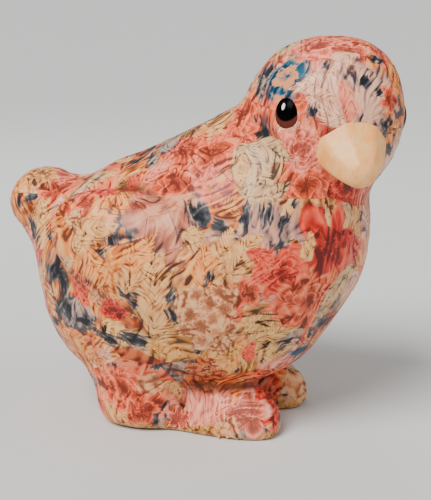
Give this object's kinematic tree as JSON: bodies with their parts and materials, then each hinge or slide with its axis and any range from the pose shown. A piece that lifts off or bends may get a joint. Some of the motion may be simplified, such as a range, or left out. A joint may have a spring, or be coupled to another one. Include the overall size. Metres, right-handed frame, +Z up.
{
  "type": "chick figurine",
  "caption": "Standing chick ornament in papier-mache with its head turned to its right, covered with pasted flower-print paper, with a plain glued-on beak and domed glued-on eyes.",
  "frame": {"origin": "on the ground under the middle of the figure's bounding box", "axes": "+Z up, -Y the way the body faces, -X the chick's right side, to which the head is turned"},
  "size_m": [0.0902, 0.142, 0.1325],
  "materials": {
    "paper": "printed paper under satin varnish",
    "beak": "painted, satin",
    "eye": "gloss"
  },
  "bodies": {
    "root": {"body": "paper", "beak": "beak", "eye_right": "eye", "eye_left": "eye"}
  },
  "joints": []
}
